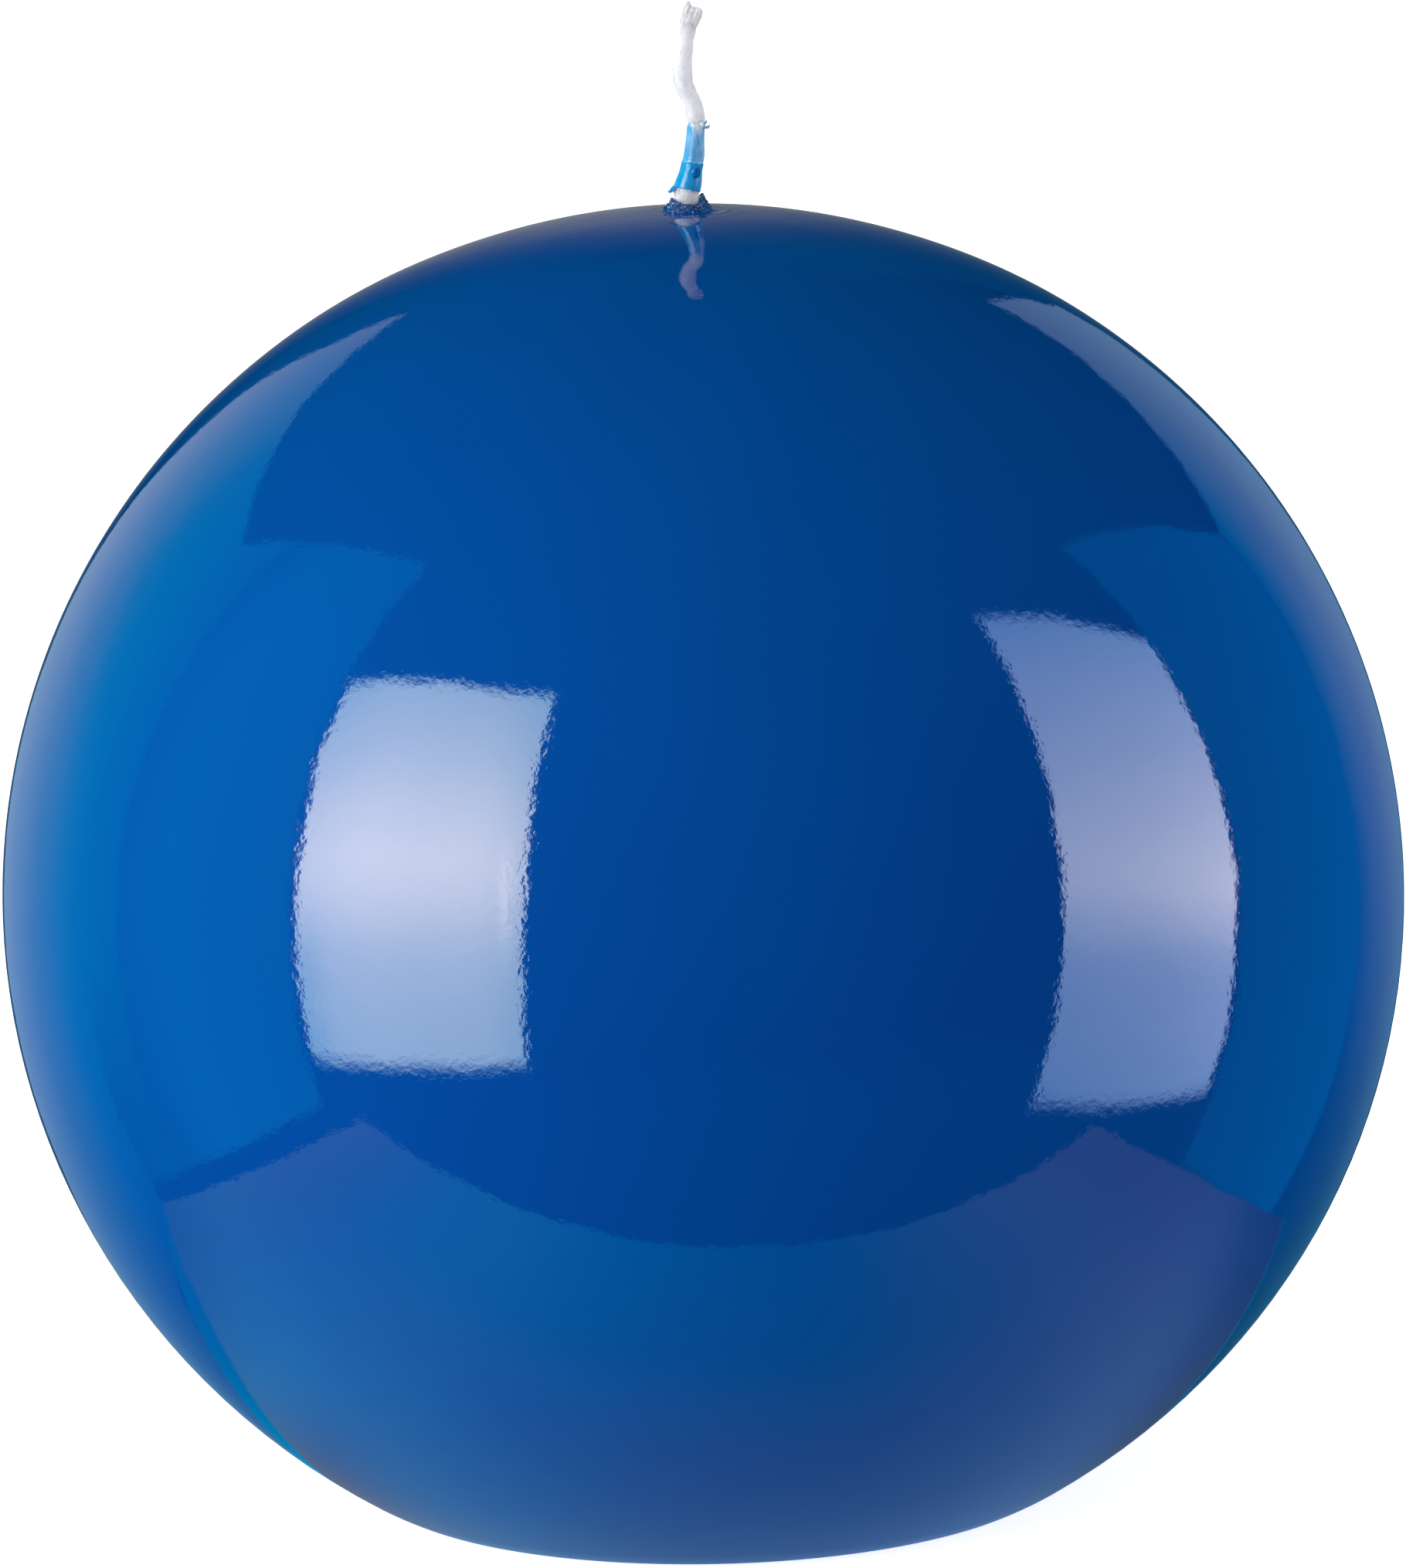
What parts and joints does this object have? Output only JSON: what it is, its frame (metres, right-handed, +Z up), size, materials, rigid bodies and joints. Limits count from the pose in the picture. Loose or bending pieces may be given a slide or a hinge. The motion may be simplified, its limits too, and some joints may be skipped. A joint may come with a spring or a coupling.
{
  "type": "ball candle",
  "caption": "Glossy lacquered ball candle with a levelled foot and a braided wick that stands bent out of its top.",
  "frame": {"origin": "centre of the flat foot that the candle stands on", "axes": "+Z up through the top of the ball, where the wick comes out; -Y is the front, the way the free wick leans; +X is to the right seen from the front"},
  "size_m": [0.1, 0.1, 0.1072],
  "materials": {
    "white_wax": "pressed white paraffin, satin",
    "blue_wax": "dipped blue hard wax, satin",
    "blue_lacquer": "high-gloss lacquer with a faint orange-peel",
    "crust_wax": "broken lacquered wax, sparkling",
    "film_wax": "thin translucent glossy wax film",
    "cotton": "bleached braided cotton, fuzzy",
    "tinplate": "bright tinplate"
  },
  "bodies": {
    "root": {"wax_core": "white_wax", "overdip_coat": "blue_wax", "lacquer_skin": "blue_lacquer", "wick_crust": "crust_wax", "wick": "cotton", "wick_film_lower": "film_wax", "wick_film_upper": "film_wax", "wick_sustainer": "tinplate"}
  },
  "joints": []
}
